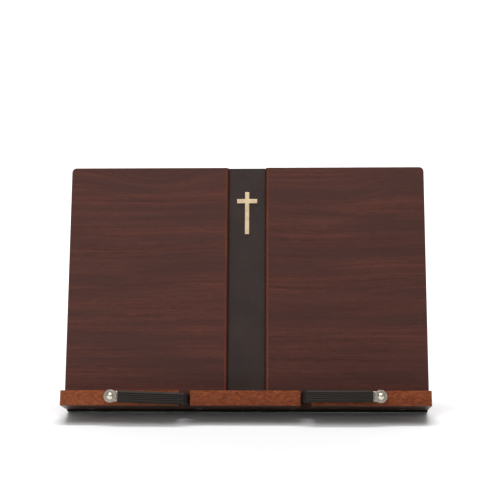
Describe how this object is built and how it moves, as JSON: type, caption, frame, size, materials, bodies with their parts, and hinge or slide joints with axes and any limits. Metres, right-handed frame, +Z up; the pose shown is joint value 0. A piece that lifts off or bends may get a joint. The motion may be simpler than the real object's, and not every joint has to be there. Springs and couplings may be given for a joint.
{
  "type": "book stand",
  "caption": "Leaning wooden book stand with a ledge, two swinging spring-loaded page holders and a hinged rear leg held by a wire stay.",
  "frame": {"origin": "centre of the footprint, on the surface that the stand rests on", "axes": "+X to the reader's right along the ledge, +Y to the rear, +Z up"},
  "size_m": [0.35, 0.1592, 0.2346],
  "materials": {
    "panel_wood": "satin dark walnut laminate",
    "ledge_wood": "satin stained solid wood",
    "leg_wood": "satin stained solid wood",
    "strip_black": "matte dark laminate",
    "rack_plastic": "matte",
    "pale_gold": "satin pale gold",
    "foot_rubber": "matte",
    "sleeve_rubber": "matte, ribbed",
    "nickel": "polished nickel plate",
    "hinge_nickel": "nickel plated",
    "zinc_steel": "zinc plated"
  },
  "bodies": {
    "stand": {"back_board": "panel_wood", "left_panel": "panel_wood", "right_panel": "panel_wood", "centre_strip": "strip_black", "cross": "pale_gold", "ledge": "ledge_wood", "ledge_screws": "zinc_steel", "foot_strip": "foot_rubber", "left_bore_plug": "ledge_wood", "right_bore_plug": "ledge_wood", "left_spring": "zinc_steel", "right_spring": "zinc_steel", "hinge_block": "leg_wood", "block_screws": "zinc_steel", "hinge_block_leaf": "hinge_nickel", "block_leaf_screws": "zinc_steel", "hinge_pin": "zinc_steel", "catch_rack": "rack_plastic", "rack_screws": "zinc_steel"},
    "left_pivot": {"left_pivot_pin": "nickel", "left_spacer": "nickel", "left_spring_collar": "zinc_steel"},
    "right_pivot": {"right_pivot_pin": "nickel", "right_spacer": "nickel", "right_spring_collar": "zinc_steel"},
    "left_holder": {"left_holder_plate": "nickel", "left_holder_sleeve": "sleeve_rubber"},
    "right_holder": {"right_holder_plate": "nickel", "right_holder_sleeve": "sleeve_rubber"},
    "leg": {"hinge_leg_leaf": "hinge_nickel", "leg_leaf_screws": "zinc_steel", "rear_leg": "leg_wood", "leg_foot_pad": "foot_rubber"},
    "stay": {"wire_stay": "zinc_steel"}
  },
  "joints": [
    {"name": "left_holder_pull", "type": "slide", "parent": "stand", "child": "left_pivot", "axis": [0, -0.9397, 0.342], "range_m": [0, 0.012], "stiffness_N_per_m": 250, "springref_m": -0.01, "deforming": ["left_spring"]},
    {"name": "right_holder_pull", "type": "slide", "parent": "stand", "child": "right_pivot", "axis": [0, -0.9397, 0.342], "range_m": [0, 0.012], "stiffness_N_per_m": 250, "springref_m": -0.01, "deforming": ["right_spring"]},
    {"name": "left_holder_swing", "type": "hinge", "parent": "left_pivot", "child": "left_holder", "pos_m": [-0.1272, -0.07172, 0.0264], "axis": [0, -0.9397, 0.342], "range_deg": [-4, 182]},
    {"name": "right_holder_swing", "type": "hinge", "parent": "right_pivot", "child": "right_holder", "pos_m": [0.1272, -0.07172, 0.0264], "axis": [0, 0.9397, -0.342], "range_deg": [-6, 180]},
    {"name": "leg_fold", "type": "hinge", "parent": "stand", "child": "leg", "pos_m": [0, 0.04282, 0.15136], "axis": [-1, 0, 0], "range_deg": [0, 35]},
    {"name": "stay_swing", "type": "hinge", "parent": "leg", "child": "stay", "pos_m": [0, 0.05124, 0.08943], "axis": [1, 0, 0], "range_deg": [0, 65.58]}
  ],
  "couplings": [
    {"joint": "stay_swing", "follows": "leg_fold", "ratio": 1.8735}
  ]
}
